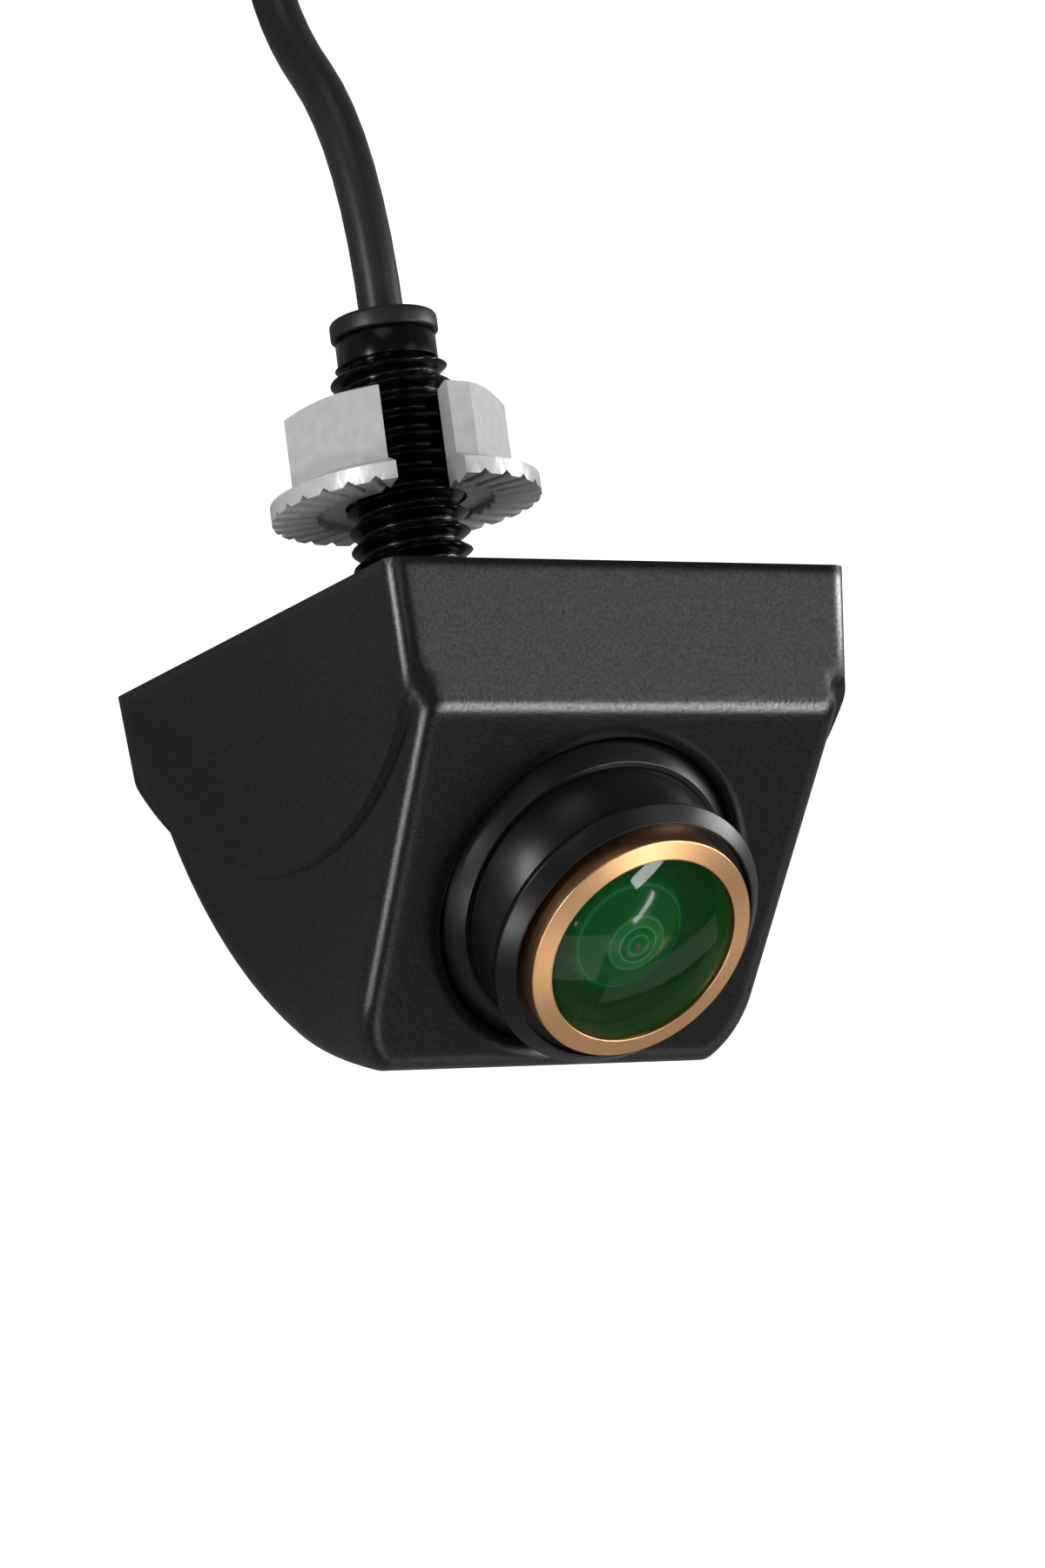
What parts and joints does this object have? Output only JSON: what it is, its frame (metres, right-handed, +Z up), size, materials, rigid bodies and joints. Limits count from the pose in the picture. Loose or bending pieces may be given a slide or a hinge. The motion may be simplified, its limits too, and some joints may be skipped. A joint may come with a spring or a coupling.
{
  "type": "backup camera",
  "caption": "Wedge-shaped backup camera with an eyeball lens that swivels and tilts, a hollow threaded stud with a slotted flange nut, and a tied cable with a round waterproof plug",
  "frame": {"origin": "on the bench, under the middle of the camera without its cable; the camera lies on its back", "axes": "+Z up, the way the housing's front faces; +Y along the stud, out of the mounting face; X across the width"},
  "size_m": [0.0536, 0.1399, 0.0367],
  "materials": {
    "housing": "satin black paint with a fine speckle",
    "stud_black": "black thread with bright crests",
    "black_metal": "matte black anodised",
    "zinc": "bright zinc plate",
    "steel": "plain",
    "brass": "plain",
    "copper_gold": "copper-gold anodised, turned",
    "green_glass": "coated glass with green and blue reflections",
    "black_plastic": "satin black",
    "cream_plastic": "plain",
    "chip_black": "plain",
    "board_green": "solder mask",
    "rubber_black": "moulded",
    "cable_black": "satin sheath"
  },
  "bodies": {
    "camera_body": {"housing_shell": "housing", "mount_plate": "housing", "plate_gasket": "rubber_black", "stud": "stud_black", "stud_seal": "rubber_black", "cable_grommet": "rubber_black", "seat_spring": "steel", "standoff_left": "brass", "standoff_right": "brass", "main_board": "board_green", "video_chip": "chip_black", "power_coil": "chip_black", "board_socket": "cream_plastic", "cable_core": "cable_black", "crimp_ring": "steel", "plug_relief": "rubber_black", "plug_grip": "black_plastic", "plug_seal": "rubber_black", "plug_contacts": "brass", "cover_screw_a": "steel", "cover_screw_b": "steel", "cover_screw_c": "steel", "cover_screw_d": "steel", "wire_harness": "cable_black", "cable_lead": "cable_black", "cable_coil": "cable_black", "coil_tie": "black_plastic", "plug_tail": "cable_black"},
    "nut": {"flange_nut": "zinc"},
    "swivel": {"swivel_ring": "black_plastic", "carrier_cup": "black_plastic", "ball_seal": "rubber_black", "retaining_clip": "steel", "pivot_pin_left": "steel", "pivot_pin_right": "steel"},
    "eyeball": {"eyeball_front_shell": "black_plastic", "eyeball_rear_shell": "black_plastic", "lens_bezel": "black_plastic", "trim_ring": "copper_gold", "front_glass": "green_glass", "glass_seal": "rubber_black", "lens_barrel": "black_metal", "stop_ring": "black_metal", "second_lens": "green_glass", "lens_spacer": "black_metal", "rear_lens": "green_glass", "lens_holder": "black_plastic", "colour_filter": "green_glass", "image_sensor": "chip_black", "sensor_board": "board_green", "lead_socket": "cream_plastic", "sensor_lead": "rubber_black"}
  },
  "joints": [
    {"name": "nut_travel", "type": "slide", "parent": "camera_body", "child": "nut", "axis": [0, 1, 0], "range_m": [-0.0097, 0.0028]},
    {"name": "swivel_turn", "type": "hinge", "parent": "camera_body", "child": "swivel", "pos_m": [0, -0.01542, 0.02605], "axis": [0, -0.6114, 0.7913], "range_deg": [-180, 180]},
    {"name": "eyeball_tilt", "type": "hinge", "parent": "swivel", "child": "eyeball", "pos_m": [0, -0.01542, 0.02605], "axis": [1, 0, 0], "range_deg": [-27.5, 17.5]}
  ]
}
